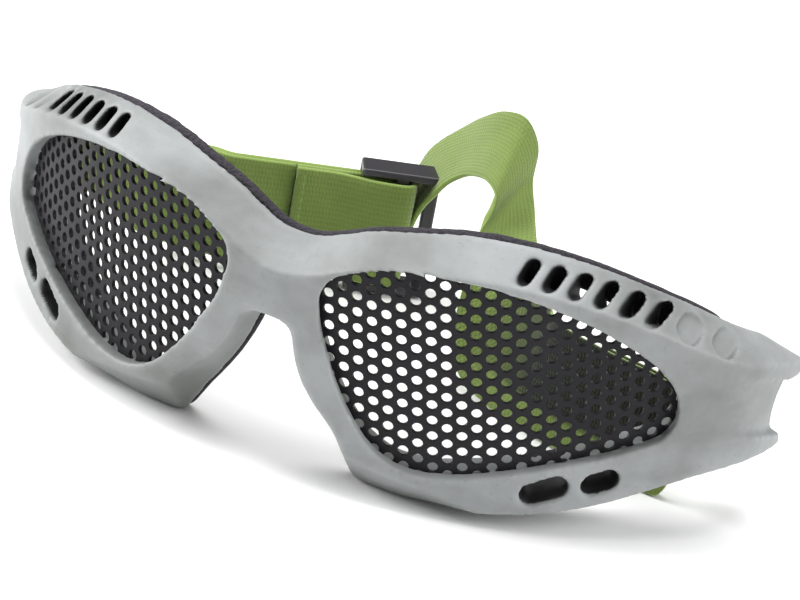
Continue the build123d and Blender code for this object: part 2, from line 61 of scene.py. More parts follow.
# Nodes
class Signal:
    """One output socket of a node tree, with the arithmetic that adds its Math nodes."""

    def __init__(self, tree: "NodeTree", socket: bpy.types.NodeSocket) -> None:
        """Keep the socket and the tree that it belongs to."""
        self.tree = tree
        self.socket = socket

    def calc(self, operation: str, *values: Any) -> "Signal":
        """Add one Math node.

        Args:
            operation: Name of the operation.
            values: Signals or numbers, in the order of the node's sockets.

        Returns:
            The node's result.
        """
        return self.tree.add("ShaderNodeMath", {"operation": operation}, dict(enumerate(values)))

    def __add__(self, other: Any) -> "Signal":
        """Sum."""
        return self.calc("ADD", self, other)

    def __sub__(self, other: Any) -> "Signal":
        """Difference."""
        return self.calc("SUBTRACT", self, other)

    def __rsub__(self, other: Any) -> "Signal":
        """Difference from a number."""
        return self.calc("SUBTRACT", other, self)

    def __mul__(self, other: Any) -> "Signal":
        """Product."""
        return self.calc("MULTIPLY", self, other)

    def __truediv__(self, other: Any) -> "Signal":
        """Quotient."""
        return self.calc("DIVIDE", self, other)

    def __mod__(self, other: Any) -> "Signal":
        """Remainder."""
        return self.calc("MODULO", self, other)

    def __pow__(self, other: Any) -> "Signal":
        """Power."""
        return self.calc("POWER", self, other)

    def sine(self) -> "Signal":
        """Sine of the angle in radians."""
        return self.calc("SINE", self)

    def cosine(self) -> "Signal":
        """Cosine of the angle in radians."""
        return self.calc("COSINE", self)

    def split(self) -> tuple["Signal", "Signal", "Signal"]:
        """The three parts of a vector."""
        node = self.tree.add("ShaderNodeSeparateXYZ", None, {0: self}).socket.node
        return tuple(Signal(self.tree, socket) for socket in node.outputs)

    def spread(self, low: float, high: float, to_low: float = 0.0, to_high: float = 1.0) -> "Signal":
        """Map a range of the value to another, held at its ends.

        Args:
            low: Value that gives to_low.
            high: Value that gives to_high.
            to_low: First result.
            to_high: Last result.

        Returns:
            The mapped value.
        """
        return self.tree.add("ShaderNodeMapRange", {"clamp": True}, {
            "Value": self, "From Min": low, "From Max": high, "To Min": to_low, "To Max": to_high})


class NodeTree:
    """A tree of nodes, added by type, settings and inputs."""

    def __init__(self, tree: bpy.types.NodeTree) -> None:
        """Start with an empty tree.

        Args:
            tree: Blender's tree, whose nodes are removed.
        """
        self.nodes = tree.nodes
        self.links = tree.links
        self.nodes.clear()

    def add(self, kind: str, settings: Optional[dict] = None, inputs: Optional[dict] = None,
            out: Any = 0) -> Optional[Signal]:
        """Add a node of any type.

        Args:
            kind: Blender's name of the node type.
            settings: Properties that are set first.
            inputs: Values, signals or lists of signals, by socket name or index.
            out: Name or index of the output that is returned.

        Returns:
            The chosen output, or None for a node that has none.
        """
        node = self.nodes.new(kind)
        for key, value in (settings or {}).items():
            setattr(node, key, value)
        for key, value in (inputs or {}).items():
            if isinstance(value, (Signal, list)):
                for signal in value if isinstance(value, list) else [value]:
                    self.links.new(signal.socket, node.inputs[key])
            else:
                node.inputs[key].default_value = value
        return Signal(self, node.outputs[out]) if node.outputs else None

    def vector(self, **parts: Any) -> Signal:
        """Join the parts X, Y and Z to a vector."""
        return self.add("ShaderNodeCombineXYZ", None, parts)


class ShaderTree(NodeTree):
    """A material's nodes."""

    def __init__(self, name: str) -> None:
        """Start an empty material.

        Args:
            name: Name of the material.
        """
        self.material = bpy.data.materials.new(name)
        self.material.use_nodes = True
        super().__init__(self.material.node_tree)

    def noise(self, where: Signal, scale: float, detail: float = 3.0, rough: float = 0.55) -> Signal:
        """Soft noise between 0 and 1 over a position."""
        return self.add("ShaderNodeTexNoise", None,
                        {"Vector": where, "Scale": scale, "Detail": detail, "Roughness": rough})

    def mix(self, factor: Any, first: Any, second: Any) -> Signal:
        """Mix two colours.

        Args:
            factor: 0 gives the first and 1 the second.
            first: Colour or signal.
            second: Colour or signal.

        Returns:
            The mixed colour.
        """
        shade = [value if isinstance(value, Signal) else (*value, 1.0) for value in (first, second)]
        return self.add("ShaderNodeMix", {"data_type": "RGBA"}, {0: factor, 6: shade[0], 7: shade[1]}, 2)

    def object_place(self) -> Signal:
        """Object coordinates in metres."""
        return self.add("ShaderNodeTexCoord", None, None, "Object")

    def turned(self, where: Signal, **how: Any) -> Signal:
        """A position, scaled or turned."""
        return self.add("ShaderNodeMapping", None, {"Vector": where, **how})

    def marked(self, name: str) -> Signal:
        """A number that the mesh carries at its points."""
        return self.add("ShaderNodeAttribute", {"attribute_name": name}, None, "Fac")

    def sharpness(self) -> Signal:
        """How much the surface stands out, above 0.5 on edges."""
        return self.add("ShaderNodeNewGeometry", None, None, "Pointiness")

    def openness(self, reach: float) -> Signal:
        """How open the surface lies, as far as a distance in metres."""
        settings = {"samples": 6, "only_local": True}
        return self.add("ShaderNodeAmbientOcclusion", settings, {"Distance": reach}, "AO")

    def along_and_across(self) -> tuple[Signal, Signal]:
        """The piece's own UV in metres, as two numbers."""
        return self.add("ShaderNodeUVMap", {"uv_map": "weave"}).split()[:2]

    def relief(self, height: Signal, depth: float, base: Optional[Signal] = None) -> Signal:
        """Bump from a height between 0 and 1.

        Args:
            height: The height signal.
            depth: Height of 1, in metres.
            base: A normal to start from.

        Returns:
            The bent normal.
        """
        inputs = {"Height": height, "Distance": depth, "Strength": 1.0}
        if base is not None:
            inputs["Normal"] = base
        return self.add("ShaderNodeBump", None, inputs)

    def soft_edges(self, radius: float) -> Signal:
        """A normal that rounds the piece's edges by a radius in metres."""
        return self.add("ShaderNodeBevel", {"samples": 6}, {"Radius": radius})

    def finish(self, **inputs: Any) -> bpy.types.Material:
        """Close the tree with a principled surface.

        Args:
            inputs: The surface's inputs, with underscores for spaces.

        Returns:
            The finished material.
        """
        named = {key.replace("_", " "): value for key, value in inputs.items()}
        surface = self.add("ShaderNodeBsdfPrincipled", None, named)
        self.add("ShaderNodeOutputMaterial", None, {"Surface": surface})
        return self.material


@dataclass(frozen=True)
class MouldedRubber:
    """Pale grey rubber, faintly marbled and rubbed paler on its edges, with painted shade that darkens its
    crevices and the insides of its vents nearly to black.
    """

    light: Colour = (0.30, 0.315, 0.318)
    dark: Colour = (0.150, 0.158, 0.150)
    rubbed: Colour = (0.50, 0.52, 0.51)
    speck: Colour = (0.12, 0.13, 0.13)
    # Painted shade: the near black of crevices and vent insides, and how far each looks for surfaces that
    # close it in
    painted_shade: Colour = (0.006, 0.006, 0.006)
    crevice_shade_reach: float = 3.2 * MM
    vent_shade_reach: float = 9.0 * MM

    def material(self) -> bpy.types.Material:
        """Mix the finish.

        Returns:
            The material.
        """
        tree = ShaderTree("moulded grey rubber")
        place = tree.object_place()
        clouds = tree.noise(place, 38.0, 4.0, 0.6)
        smears = tree.noise(tree.turned(place, Scale=(9.0, 30.0, 60.0)), 1.0, 5.0)
        specks = tree.noise(place, 900.0, 2.0).spread(0.60, 0.74)
        pits = tree.noise(place, 2600.0, 2.0)
        shade = (clouds * 0.55 + smears * 0.45).spread(0.38, 0.60)
        body = tree.mix(shade, self.dark, self.light)
        rubbed = tree.mix(tree.sharpness().spread(0.50, 0.62) * 0.5, body, self.rubbed)
        speckled = tree.mix(specks * 0.18, rubbed, self.speck)
        # Painted shade: where the surface is closed in within a few millimetres, the colour goes nearly black
        crevice_shaded = tree.mix(tree.openness(self.crevice_shade_reach).spread(0.16, 0.62), self.painted_shade, speckled)
        # Painted shade: inside the marked vent hollows, the closed-in surfaces go nearly black
        vent_shade = tree.marked("hollow") * (1 - tree.openness(self.vent_shade_reach).spread(0.58, 0.93))
        colour = tree.mix(vent_shade.spread(0.0, 0.8), crevice_shaded, self.painted_shade)
        rough = clouds.spread(0.3, 0.7, 0.40, 0.56)
        waves = tree.relief(tree.noise(place, 120.0, 2.0), 0.18 * MM, tree.relief(pits, 0.04 * MM))
        return tree.finish(Base_Color=colour, Roughness=rough, Normal=waves, Specular_IOR_Level=0.35)


@dataclass(frozen=True)
class SealFoam:
    """Dark grey-purple foam with fine open cells."""

    light: Colour = (0.046, 0.041, 0.051)
    dark: Colour = (0.016, 0.015, 0.019)

    def material(self) -> bpy.types.Material:
        """Mix the finish.

        Returns:
            The material.
        """
        tree = ShaderTree("seal foam")
        place = tree.object_place()
        cells = tree.add("ShaderNodeTexVoronoi", None, {"Vector": place, "Scale": 1500.0}, "Distance")
        patches = tree.noise(place, 90.0, 3.0)
        open_cell = cells.spread(0.15, 0.75)
        colour = tree.mix(open_cell * 0.6 + patches * 0.4, self.dark, self.light)
        height = tree.relief(open_cell, 0.15 * MM, tree.relief(patches, 0.2 * MM))
        return tree.finish(Base_Color=colour, Roughness=0.93, Normal=height, Specular_IOR_Level=0.2,
                           Sheen_Weight=0.06, Sheen_Roughness=0.5)


@dataclass(frozen=True)
class CoatedSteel:
    """Black coated sheet steel with a little dust on it, and the edges of its holes softened."""

    coat: Colour = (0.009, 0.008, 0.010)
    dust: Colour = (0.019, 0.018, 0.021)

    def material(self) -> bpy.types.Material:
        """Mix the finish.

        Returns:
            The material.
        """
        tree = ShaderTree("black coated steel")
        place = tree.object_place()
        patches = tree.noise(place, 70.0, 4.0)
        fine = tree.noise(place, 1400.0, 2.0)
        colour = tree.mix(patches.spread(0.35, 0.75) * 0.7 + fine * 0.2, self.coat, self.dust)
        rough = patches.spread(0.3, 0.7, 0.34, 0.52)
        grain = tree.relief(fine, 0.02 * MM, tree.soft_edges(0.22 * MM))
        return tree.finish(Base_Color=colour, Roughness=rough, Normal=grain, Specular_IOR_Level=0.16)


@dataclass(frozen=True)
class WovenElastic:
    """Green woven elastic: fine ribs along its length, picks across them, a smoother, darker back, and
    painted shade where it lies close behind a screen.
    """

    front: Colour = (0.240, 0.350, 0.080)
    back: Colour = (0.138, 0.200, 0.040)
    shadow: Colour = (0.075, 0.110, 0.018)
    # Painted shade: the side that lies enclosed close behind the left screen
    inside: Colour = (0.006, 0.009, 0.002)
    fibre: Colour = (0.34, 0.45, 0.14)
    rib_pitch: float = 1.15 * MM
    pick_pitch: float = 0.75 * MM

    def material(self) -> bpy.types.Material:
        """Mix the finish.

        Returns:
            The material.
        """
        tree = ShaderTree("green woven elastic")
        along, across = tree.along_and_across()
        face = tree.marked("back_face")
        ribs = (across * (2 * math.pi / self.rib_pitch)).sine() * 0.5 + 0.5
        stagger = (across * (math.pi / self.rib_pitch)).sine() * 1.2
        picks = (along * (2 * math.pi / self.pick_pitch) + stagger).sine() * 0.5 + 0.5
        place = tree.object_place()
        fuzz = tree.noise(place, 2200.0, 2.0)
        patches = tree.noise(place, 60.0, 3.0)
        depth = (ribs ** 0.7) * (1 - face * 0.55) + picks * 0.35
        base = tree.mix(face, self.front, self.back)
        shaded = tree.mix((1 - depth).spread(0.1, 1.0) * 0.55, base, self.shadow)
        lively = tree.mix(patches.spread(0.3, 0.75) * 0.18 + fuzz * 0.12, shaded, self.fibre)
        # Painted shade: the marked enclosed side goes nearly black
        colour = tree.mix(tree.marked("enclosed"), lively, self.inside)
        height = tree.relief(depth + fuzz * 0.25, 0.16 * MM)
        return tree.finish(Base_Color=colour, Roughness=0.88, Normal=height, Specular_IOR_Level=0.25,
                           Sheen_Weight=0.3, Sheen_Roughness=0.45)


@dataclass(frozen=True)
class SewingThread:
    """Green twisted thread."""

    colour: Colour = (0.22, 0.33, 0.09)
    shadow: Colour = (0.09, 0.14, 0.03)

    def material(self) -> bpy.types.Material:
        """Mix the finish.

        Returns:
            The material.
        """
        tree = ShaderTree("green sewing thread")
        slanted = tree.turned(tree.object_place(), Rotation=(0.6, 0.4, 0.2))
        lay = tree.add("ShaderNodeTexWave", None, {"Vector": slanted, "Scale": 900.0}, "Fac")
        colour = tree.mix(lay * 0.5, self.colour, self.shadow)
        return tree.finish(Base_Color=colour, Roughness=0.7, Normal=tree.relief(lay, 0.06 * MM),
                           Specular_IOR_Level=0.3)


@dataclass(frozen=True)
class MouldedPlastic:
    """Near black moulded plastic with a fine satin grain and scuffed edges."""

    colour: Colour = (0.022, 0.020, 0.024)
    scuff: Colour = (0.16, 0.155, 0.17)

    def material(self) -> bpy.types.Material:
        """Mix the finish.

        Returns:
            The material.
        """
        tree = ShaderTree("black moulded plastic")
        place = tree.object_place()
        patches = tree.noise(place, 160.0, 4.0)
        worn = tree.sharpness().spread(0.51, 0.60)
        colour = tree.mix(worn * patches.spread(0.4, 0.7), self.colour, self.scuff)
        grain = tree.relief(tree.noise(place, 3000.0, 1.0), 0.02 * MM, tree.soft_edges(0.35 * MM))
        return tree.finish(Base_Color=colour, Roughness=patches.spread(0.3, 0.7, 0.28, 0.44), Normal=grain,
                           Specular_IOR_Level=0.5)


class Body(Enum):
    """The model's bodies, which carry the pieces."""

    GOGGLES = "goggles"
    BUCKLE = "buckle"


# Meshes
def new_object(name: str, data: bpy.types.ID) -> bpy.types.Object:
    """Put something into the scene, at the origin.

    Args:
        name: Its name.
        data: Its mesh, lamp or camera.

    Returns:
        The object.
    """
    thing = bpy.data.objects.new(name, data)
    bpy.context.scene.collection.objects.link(thing)
    return thing


def mesh_of(name: str, shape: bmesh.types.BMesh) -> bpy.types.Mesh:
    """Turn an edited shape into a mesh.

    Args:
        name: Name of the mesh.
        shape: The shape, which is freed.

    Returns:
        The mesh.
    """
    mesh = bpy.data.meshes.new(name)
    shape.to_mesh(mesh)
    shape.free()
    return mesh


def settled(piece: bpy.types.Object) -> bpy.types.Object:
    """Turn a piece's live modifiers into a plain mesh.

    Args:
        piece: Object with modifiers.

    Returns:
        The same object, with its evaluated mesh and no modifiers.
    """
    graph = bpy.context.evaluated_depsgraph_get()
    mesh = bpy.data.meshes.new_from_object(piece.evaluated_get(graph))
    piece.modifiers.clear()
    piece.data = mesh
    return piece


def merged_copy(name: str, node: str) -> bpy.types.Object:
    """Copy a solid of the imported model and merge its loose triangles.

    Args:
        name: Name of the new piece.
        node: Node that is copied.

    Returns:
        The new piece.
    """
    shape = bmesh.new()
    shape.from_mesh(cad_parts[node].data)
    bmesh.ops.remove_doubles(shape, verts=shape.verts, dist=JOIN_WITHIN)
    return new_object(name, mesh_of(name, shape))


def dress(piece: bpy.types.Object, material: bpy.types.Material) -> None:
    """Give a piece its finish.

    Args:
        piece: The piece.
        material: Its one material.
    """
    piece.data.materials.clear()
    piece.data.materials.append(material)


def report(piece: bpy.types.Object) -> None:
    """Say what was made."""
    log.info("%s: %d faces", piece.name, len(piece.data.polygons))


def mark_points(mesh: bpy.types.Mesh, name: str, values: Sequence[float]) -> None:
    """Store a number at each point, for a material to read."""
    mesh.attributes.new(name, "FLOAT", "POINT").data.foreach_set("value", values)


def add_boxes(shape: bmesh.types.BMesh, boxes: Iterable[Box]) -> None:
    """Add closed boxes to a mesh that is being edited.

    Args:
        shape: The mesh, which is changed.
        boxes: Place and size of each box.
    """
    for place, size in boxes:
        grown = bmesh.ops.create_cube(shape, size=1.0)["verts"]
        bmesh.ops.transform(shape, matrix=place @ Matrix.Diagonal((*size, 1.0)), verts=grown)


def relaxed(piece: bpy.types.Object, grain: float, rounds: int) -> bpy.types.Object:
    """Give a piece even faces and rounded edges.

    Args:
        piece: The piece, which is changed.
        grain: Size of the new faces.
        rounds: How many times the faces are evened out.

    Returns:
        The same piece, smooth shaded.
    """
    remesh = piece.modifiers.new("even faces", "REMESH")
    remesh.mode = "VOXEL"
    remesh.voxel_size = grain
    piece.modifiers.new("rounded edges", "SMOOTH").iterations = rounds
    settled(piece).data.shade_smooth()
    return piece


@dataclass
class MouldedFrame:
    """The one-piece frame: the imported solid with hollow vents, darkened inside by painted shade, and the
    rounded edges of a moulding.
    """

    wrap: float = 104.5 * MM
    depth: float = 9.7 * MM
    skin: float = 1.9 * MM
    mark: float = 0.8 * MM
    # Each block behind the brow vents: how far back, how far below the mouth, how much lower with each
    # vent from the nose, and its size, in millimetres
    walls: tuple = ((8.4, 1.2, 0.24, (5.0, 1.6, 6.0)), (3.2, 2.6, 0.26, (4.8, 4.6, 1.5)))
    grain: float = 0.52 * MM
    rounds: int = 10
    brow_first: float = 44.4 * MM
    brow_pitch: float = 4.35 * MM
    brow_count: int = 6
    brow_tilt: float = 20.0
    # In millimetres: the space behind a brow vent, and the height of each vent from the nose outwards
    brow_space: tuple[float, float, float] = (4.0, 6.984, 5.0)
    brow_heights: tuple = (51.6, 51.2, 50.6, 49.7, 48.6, 47.2)
    # Each lower vent: degrees round the wrap, then height, length and width in millimetres
    low_vents: tuple = ((32.4, 9.2, 11.0, 5.4), (38.2, 12.0, 9.0, 5.2))
    low_back: float = 6.014 * MM
    low_inward: float = 34.0
    low_tilt: float = -12.0
    low_lean: float = 24.0
    finish: MouldedRubber = field(default_factory=MouldedRubber)

    def brow_x(self, i: int) -> float:
        """Distance of a brow vent from the middle of the face."""
        return self.brow_first + i * self.brow_pitch

    def brow_place(self, i: int, side: int, radius: float, drop: float = 0.0) -> Matrix:
        """Return a place at a brow vent.

        Args:
            i: Number of the vent from the nose.
            side: 1 for the wearer's left, -1 for the right.
            radius: Distance from the axis of the wrap.
            drop: Millimetres below the middle of the vent's mouth.

        Returns:
            The place, unturned.
        """
        x = self.brow_x(i)
        return Matrix.Translation((side * x, BACK_SHIFT - math.sqrt(radius ** 2 - x ** 2),
                                   (self.brow_heights[i] - drop) * MM))

    def hollows(self, moved: Vector, boxes: Sequence[Box]) -> bpy.types.Object:
        """Make the space behind a row of vents: boxes, kept within the frame's own shape moved inwards.

        Args:
            moved: How far in the frame's shape is moved, which leaves the skin.
            boxes: Places and sizes of the boxes.

        Returns:
            The cutter.
        """
        shape = bmesh.new()
        add_boxes(shape, boxes)
        cutter = new_object("hollows", mesh_of("hollows", shape))
        inner = merged_copy("inner shape", "goggle_frame")
        inner.data.transform(Matrix.Translation(moved))
        keep = cutter.modifiers.new("keep", "BOOLEAN")
        keep.operation, keep.solver, keep.use_self, keep.object = "INTERSECT", "EXACT", True, inner
        settled(cutter)
        bpy.data.objects.remove(inner)
        return cutter

    def mark_hollows(self, mesh: bpy.types.Mesh, boxes: Sequence[Box]) -> None:
        """Mark the points in and round the boxes, where the finish paints shade inside the vents.

        Args:
            mesh: The frame's mesh.
            boxes: The boxes behind all vents.
        """
        grown = Vector((self.mark, self.mark, self.mark))
        inward = [(place.inverted(), size / 2 + grown) for place, size in boxes]
        marks = [float(any(all(abs(c) < h for c, h in zip(back @ vertex.co, half)) for back, half in inward))
                 for vertex in mesh.vertices]
        mark_points(mesh, "hollow", marks)

    def close_vents(self, piece: bpy.types.Object, side: int) -> None:
        """Add a wall behind and a floor below each brow vent, which the remesh joins to the frame.

        Args:
            piece: The frame.
            side: 1 for the wearer's left, -1 for the right.
        """
        shape = bmesh.new()
        shape.from_mesh(piece.data)
        for back, drop, slope, size in self.walls:
            radius = self.wrap - back * MM
            for i in range(self.brow_count):
                turn = Matrix.Rotation(math.asin(self.brow_x(i) / radius) * side, 4, "Z")
                place = self.brow_place(i, side, radius, drop + slope * i) @ turn
                add_boxes(shape, [(place, Vector(size) * MM)])
        shape.to_mesh(piece.data)
        shape.free()

    def vent_boxes(self, side: int) -> tuple[list[Box], list[Box]]:
        """Find the space behind the vents of one side.

        Args:
            side: 1 for the wearer's left, -1 for the right.

        Returns:
            The boxes of the brow vents and the boxes of the lower vents.
        """
        brow, low = [], []
        tilt = Matrix.Rotation(math.radians(-self.brow_tilt), 4, "X")
        for i in range(self.brow_count):
            place = self.brow_place(i, side, self.wrap - self.depth / 2) @ tilt
            brow.append((place, Vector(self.brow_space) * MM))
        for facing, z, length, width in self.low_vents:
            angle = math.radians(facing) * side
            centre = Vector((math.sin(angle) * self.wrap, BACK_SHIFT - math.cos(angle) * self.wrap, z * MM))
            turn = (Matrix.Rotation(angle, 4, "Z") @ Matrix.Rotation(math.radians(-self.low_tilt), 4, "X")
                    @ Matrix.Rotation(-math.radians(self.low_lean) * side, 4, "Y"))
            place = Matrix.Translation(centre) @ turn @ Matrix.Translation((0.0, self.low_back, 0.0))
            low.append((place, Vector((length * MM, self.depth, width * MM))))
        return brow, low

    def build(self) -> None:
        """Build and dress the frame."""
        piece = merged_copy("moulded_frame", "goggle_frame")
        every: list[Box] = []
        for side in (1, -1):
            brow, low = self.vent_boxes(side)
            every += brow + low
            inward = -math.radians(self.low_inward) * side
            cutter = self.hollows(Vector((math.sin(inward), math.cos(inward), 0.0)) * self.skin, low)
            cut = piece.modifiers.new("hollow", "BOOLEAN")
            cut.operation, cut.solver, cut.object = "DIFFERENCE", "EXACT", cutter
            settled(piece)
            bpy.data.objects.remove(cutter)
            self.close_vents(piece, side)
        relaxed(piece, self.grain, self.rounds)
        self.mark_hollows(piece.data, every)
        dress(piece, self.finish.material())
        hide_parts("goggle_frame")
        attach(piece, Body.GOGGLES.value)
        report(piece)


@dataclass
class FaceSeal:
    """The foam seal behind the frame, softened all round."""

    grain: float = 0.55 * MM
    rounds: int = 40
    finish: SealFoam = field(default_factory=SealFoam)

    def build(self) -> None:
        """Build and dress the seal."""
        piece = relaxed(merged_copy("foam_face_seal", "face_foam"), self.grain, self.rounds)
        dress(piece, self.finish.material())
        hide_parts("face_foam")
        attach(piece, Body.GOGGLES.value)
        report(piece)


# Eye openings, as shares of their width and height, from the nose over the temple side and back
OPENING_SHARES = (
    (0.0, 0.745), (0.02, 0.838), (0.066, 0.900), (0.13, 0.943), (0.22, 0.976), (0.325, 0.994),
    (0.435, 0.990), (0.53, 0.966), (0.62, 0.928), (0.725, 0.868), (0.825, 0.788), (0.89, 0.722),
    (0.95, 0.634), (0.99, 0.530), (1.0, 0.440), (0.99, 0.370), (0.95, 0.305), (0.85, 0.237),
    (0.73, 0.170), (0.61, 0.101), (0.50, 0.044), (0.42, 0.012), (0.34, 0.0), (0.245, 0.035),
    (0.165, 0.142), (0.103, 0.287), (0.054, 0.450), (0.018, 0.600))


class GeometryTree(NodeTree):
    """A geometry node group that is built in steps, with named inputs."""

    def __init__(self, name: str) -> None:
        """Start a group with a geometry input and output.

        Args:
            name: Name of the group.
        """
        self.group = bpy.data.node_groups.new(name, "GeometryNodeTree")
        super().__init__(self.group)
        for way in ("INPUT", "OUTPUT"):
            self.group.interface.new_socket("Geometry", in_out=way, socket_type="NodeSocketGeometry")
        self.geometry = self.add("NodeGroupInput")

    def size(self, name: str) -> Signal:
        """Add a named number as an input and return it."""
        self.group.interface.new_socket(name, in_out="INPUT", socket_type="NodeSocketFloat")
        return Signal(self, self.geometry.socket.node.outputs[name])

    def apply(self, piece: bpy.types.Object, sizes: dict[str, Any]) -> bpy.types.Object:
        """Run the group on a piece and keep its result as a plain mesh.

        Args:
            piece: Object that carries the points or mesh the group starts from.
            sizes: Values of the named inputs.

        Returns:
            The piece with its new mesh.
        """
        modifier = piece.modifiers.new(self.group.name, "NODES")
        modifier.node_group = self.group
        for item in self.group.interface.items_tree:
            if getattr(item, "in_out", "") == "INPUT" and item.name in sizes:
                modifier[item.identifier] = sizes[item.name]
        return settled(piece)


@dataclass
class EyeScreens:
    """Two perforated steel screens, rolled to the wrap of the frame."""

    radius: float = 101.3 * MM
    thickness: float = 0.8 * MM
    pitch: float = 3.25 * MM
    hole: float = 2.15 * MM
    lean: float = 10.8
    facing: float = 27.0
    nose_u: float = -38.2 * MM
    width: float = 70.8 * MM
    bottom: float = 8.4 * MM
    height: float = 41.1 * MM
    centre_share: float = 0.56
    centre_arc: float = -1.4 * MM
    tuck: float = 2.4 * MM
    rim_tuck: float = 1.2 * MM
    brow_tuck: float = 0.9 * MM
    brow_share: float = 0.55
    rim_points: int = 12
    crease: float = 30.0
    join_cells: float = 0.065 * MM
    join_sides: float = 0.0325 * MM
    finish: CoatedSteel = field(default_factory=CoatedSteel)

    def edges(self) -> list[tuple[tuple[float, float], tuple[float, float]]]:
        """Return the opening's edges, from corner to corner, across and up, in metres."""
        corners = [(self.nose_u + self.width * u, self.bottom + self.height * v) for u, v in OPENING_SHARES]
        return list(zip(corners, corners[1:] + corners[:1]))

    def nearest(self, u: float, z: float) -> tuple[float, float, float]:
        """Find the opening's edge.

        Args:
            u: Distance across the opening's own plane.
            z: Height.

        Returns:
            The distance to the nearest point of the edge, and that point.
        """
        best = (math.inf, u, z)
        for (u0, z0), (u1, z1) in self.edges():
            run, rise = u1 - u0, z1 - z0
            share = max(0.0, min(1.0, ((u - u0) * run + (z - z0) * rise) / (run * run + rise * rise)))
            near_u, near_z = u0 + run * share, z0 + rise * share
            best = min(best, (math.hypot(u - near_u, z - near_z), near_u, near_z))
        return best

    def reach(self, u: float, z: float) -> float:
        """How far a place lies inside the opening.

        Args:
            u: Distance across the opening's own plane.
            z: Height.

        Returns:
            Distance to the edge, negative outside.
        """
        inside = False
        for (u0, z0), (u1, z1) in self.edges():
            if (z0 > z) != (z1 > z) and u < (u1 - u0) * (z - z0) / (z1 - z0) + u0:
                inside = not inside
        nearest = self.nearest(u, z)[0]
        return nearest if inside else -nearest

    def lattice(self, side: int) -> list[tuple[float, float, float]]:
        """Return the hole centres of one screen, as arc, height and zero.

        Args:
            side: 1 for the wearer's left, -1 for the right.

        Returns:
            The centres on the flat blank.
        """
        lean = math.radians(self.lean) * side
        step = self.pitch * math.cos(math.radians(30))
        middle = self.bottom + self.height * self.centre_share
        count = int(self.width / step)
        found = []
        for column in range(-count, count + 1):
            for row in range(-count, count + 1):
                if (column + row) % 2 == 0:
                    continue
                across, down = column * step, row * self.pitch / 2
                arc = self.centre_arc + across * math.cos(lean) + down * math.sin(lean)
                z = middle + across * math.sin(lean) - down * math.cos(lean)
                if self.reach(self.radius * math.sin(arc / self.radius), z) > -self.tuck:
                    found.append((arc * side, z, 0.0))
        return found

    def trim(self, mesh: bpy.types.Mesh, side: int) -> None:
        """Draw the sheet's border in to its groove, on the rolled sheet.

        Args:
            mesh: The sheet's mesh, which is changed.
            side: 1 for the wearer's left, -1 for the right.
        """
        facing = math.radians(self.facing)
        for vertex in mesh.vertices:
            x, y = vertex.co.x * side, BACK_SHIFT - vertex.co.y
            length, heading = math.hypot(x, y), math.atan2(x, y) - facing
            u, z = self.radius * math.sin(heading), vertex.co.z
            low_part = z < self.bottom + self.height * self.brow_share
            tuck = self.rim_tuck if low_part else self.brow_tuck
            if self.reach(u, z) > -tuck:
                continue
            away, near_u, near_z = self.nearest(u, z)
            u, z = near_u + (u - near_u) * tuck / away, near_z + (z - near_z) * tuck / away
            heading = math.asin(u / self.radius) + facing
            x, y = length * math.sin(heading) * side, BACK_SHIFT - length * math.cos(heading)
            vertex.co = Vector((x, y, z))

    def tree(self, material: bpy.types.Material) -> GeometryTree:
        """Write the group that turns hole centres into a rolled, perforated sheet.

        Args:
            material: Finish of the sheet.

        Returns:
            The group, with its sizes as inputs.
        """
        tree = GeometryTree("perforated sheet")
        pitch, hole, radius, facing, lean, thickness, shift = (
            tree.size(name) for name in ("Pitch", "Hole", "Radius", "Facing", "Lean", "Thickness", "Shift"))
        circle = tree.add("GeometryNodeMeshCircle", {"fill_type": "NONE"},
                          {"Vertices": self.rim_points, "Radius": hole * 0.5})
        grown = tree.add("GeometryNodeExtrudeMesh", {"mode": "EDGES"}, {"Mesh": circle, "Offset Scale": 0.0})
        top = Signal(tree, grown.socket.node.outputs["Top"])
        x, y, z = tree.add("GeometryNodeInputPosition").split()
        angle = y.calc("ARCTAN2", y, x)
        sixth = math.pi / 3
        turn = (angle + (2 * math.pi + sixth / 2)) % sixth - sixth / 2
        edge = pitch * 0.5 / turn.cosine()
        hexagon = tree.vector(X=edge * angle.cosine(), Y=edge * angle.sine())
        cell = tree.add("GeometryNodeSetPosition", None,
                        {"Geometry": grown, "Selection": top, "Position": hexagon})
        placed = tree.add("GeometryNodeInstanceOnPoints", None, {
            "Points": tree.add("GeometryNodeMeshToPoints", None, {"Mesh": tree.geometry}), "Instance": cell,
            "Rotation": tree.vector(Z=lean + sixth / 2)})
        flat = tree.add("GeometryNodeMergeByDistance", None, {
            "Geometry": tree.add("GeometryNodeRealizeInstances", None, {0: placed}),
            "Distance": self.join_cells})
        back = tree.add("GeometryNodeFlipFaces", None, {"Mesh": flat})
        wall = tree.add("GeometryNodeExtrudeMesh", {"mode": "FACES"}, {
            "Mesh": flat, "Offset": tree.vector(Z=thickness), "Offset Scale": 1.0, "Individual": False})
        solid = tree.add("GeometryNodeMergeByDistance", None, {
            "Geometry": tree.add("GeometryNodeJoinGeometry", None, {0: [wall, back]}),
            "Distance": self.join_sides})
        heading = facing + x / radius
        length = radius + (z - thickness * 0.5)
        rolled = tree.add("GeometryNodeSetPosition", None, {
            "Geometry": solid,
            "Position": tree.vector(X=length * heading.sine(), Y=shift - length * heading.cosine(), Z=y)})
        ready = tree.add("GeometryNodeRealizeInstances", None, {0: rolled})
        tree.add("NodeGroupOutput", None, {
            0: tree.add("GeometryNodeSetMaterial", None, {"Geometry": ready, "Material": material})})
        return tree

